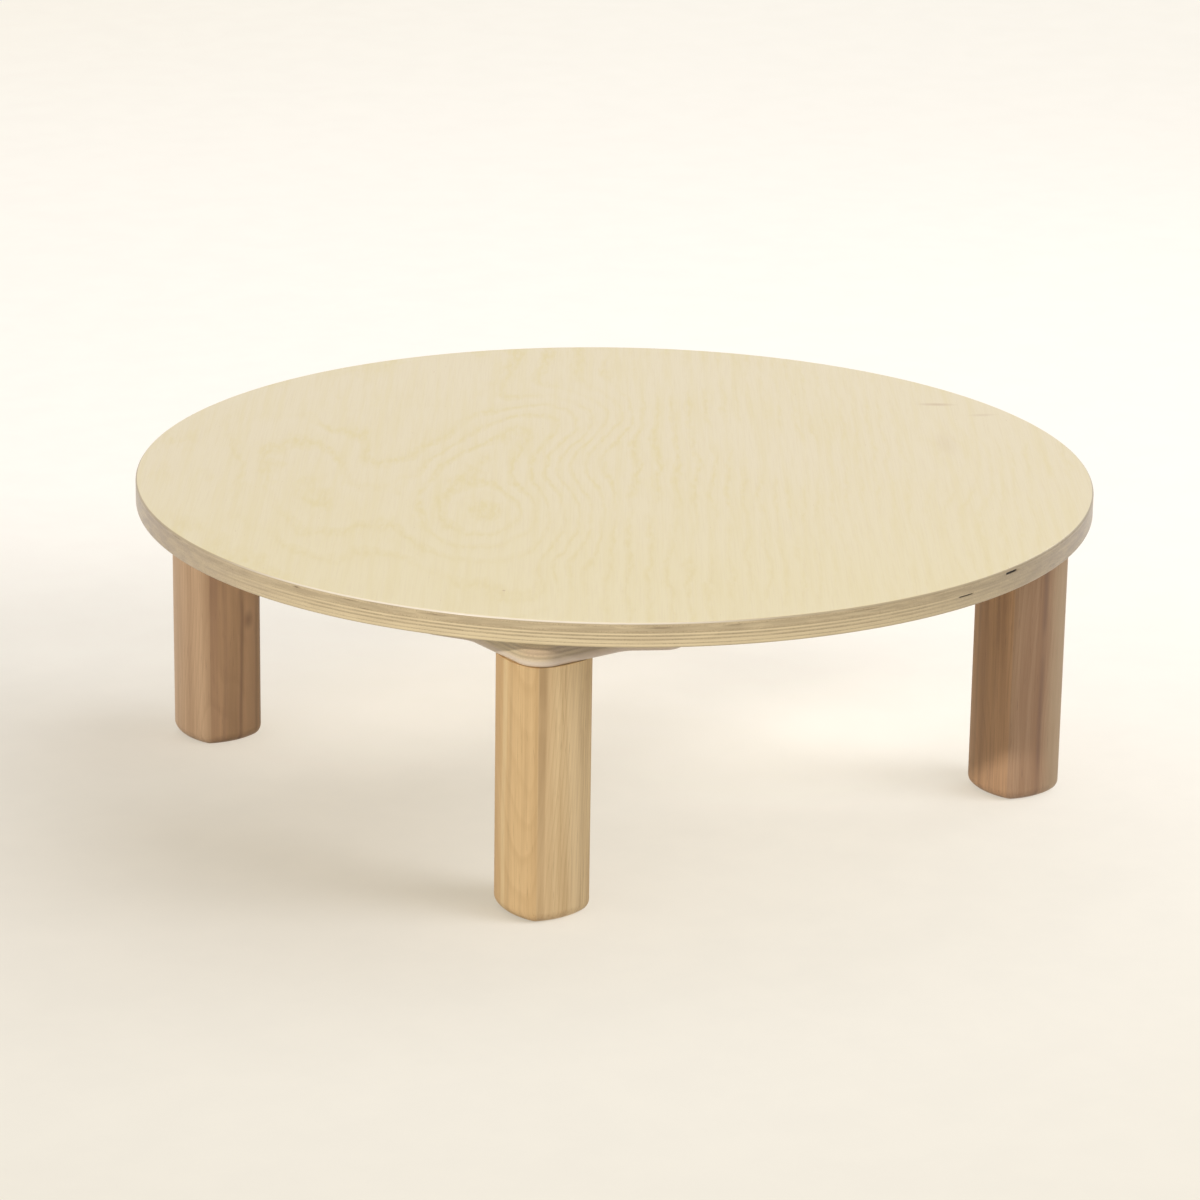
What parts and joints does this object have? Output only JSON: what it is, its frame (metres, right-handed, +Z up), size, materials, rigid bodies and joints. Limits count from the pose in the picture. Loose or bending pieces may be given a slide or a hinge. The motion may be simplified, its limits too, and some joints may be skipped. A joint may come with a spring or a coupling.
{
  "type": "round folding low table",
  "caption": "Round low floor table: plywood disc on thick post legs under plywood corner blocks, each leg folding inwards on a hidden steel hinge.",
  "frame": {"origin": "on the floor, under the middle of the round top", "axes": "+Z up; the legs stand on the four diagonals between X and Y, and -Y is the front"},
  "size_m": [0.9499, 0.95, 0.305],
  "materials": {
    "top_plywood": "pale birch plywood, satin clear lacquer, plies showing on the edge",
    "block_plywood": "birch plywood, satin clear lacquer",
    "leg_wood": "light brown solid wood, satin clear lacquer",
    "black_steel": "black powder coat",
    "plated_steel": "zinc plated",
    "spring_steel": "blued spring steel",
    "washer_plastic": "natural nylon"
  },
  "bodies": {
    "table": {"table_top": "top_plywood", "block_front_left": "block_plywood", "hinge_base_front_left": "black_steel", "hinge_pin_front_left": "plated_steel", "detent_spring_front_left": "spring_steel", "block_front_right": "block_plywood", "hinge_base_front_right": "black_steel", "hinge_pin_front_right": "plated_steel", "detent_spring_front_right": "spring_steel", "block_back_right": "block_plywood", "hinge_base_back_right": "black_steel", "hinge_pin_back_right": "plated_steel", "detent_spring_back_right": "spring_steel", "block_back_left": "block_plywood", "hinge_base_back_left": "black_steel", "hinge_pin_back_left": "plated_steel", "detent_spring_back_left": "spring_steel", "hinge_washers": "washer_plastic", "pin_clips": "spring_steel", "spring_rivets": "plated_steel", "block_screws": "plated_steel", "base_screws": "plated_steel"},
    "front_left_leg": {"leg_front_left": "leg_wood", "leg_plate_front_left": "black_steel", "plate_screws_front_left": "plated_steel"},
    "front_right_leg": {"leg_front_right": "leg_wood", "leg_plate_front_right": "black_steel", "plate_screws_front_right": "plated_steel"},
    "back_right_leg": {"leg_back_right": "leg_wood", "leg_plate_back_right": "black_steel", "plate_screws_back_right": "plated_steel"},
    "back_left_leg": {"leg_back_left": "leg_wood", "leg_plate_back_left": "black_steel", "plate_screws_back_left": "plated_steel"}
  },
  "joints": [
    {"name": "fold_front_left", "type": "hinge", "parent": "table", "child": "front_left_leg", "pos_m": [-0.25505, -0.25505, 0.235], "axis": [0.7071, -0.7071, 0], "range_deg": [0, 90]},
    {"name": "fold_front_right", "type": "hinge", "parent": "table", "child": "front_right_leg", "pos_m": [0.25505, -0.25505, 0.235], "axis": [0.7071, 0.7071, 0], "range_deg": [0, 90]},
    {"name": "fold_back_right", "type": "hinge", "parent": "table", "child": "back_right_leg", "pos_m": [0.25505, 0.25505, 0.235], "axis": [-0.7071, 0.7071, 0], "range_deg": [0, 90]},
    {"name": "fold_back_left", "type": "hinge", "parent": "table", "child": "back_left_leg", "pos_m": [-0.25505, 0.25505, 0.235], "axis": [-0.7071, -0.7071, 0], "range_deg": [0, 90]}
  ]
}
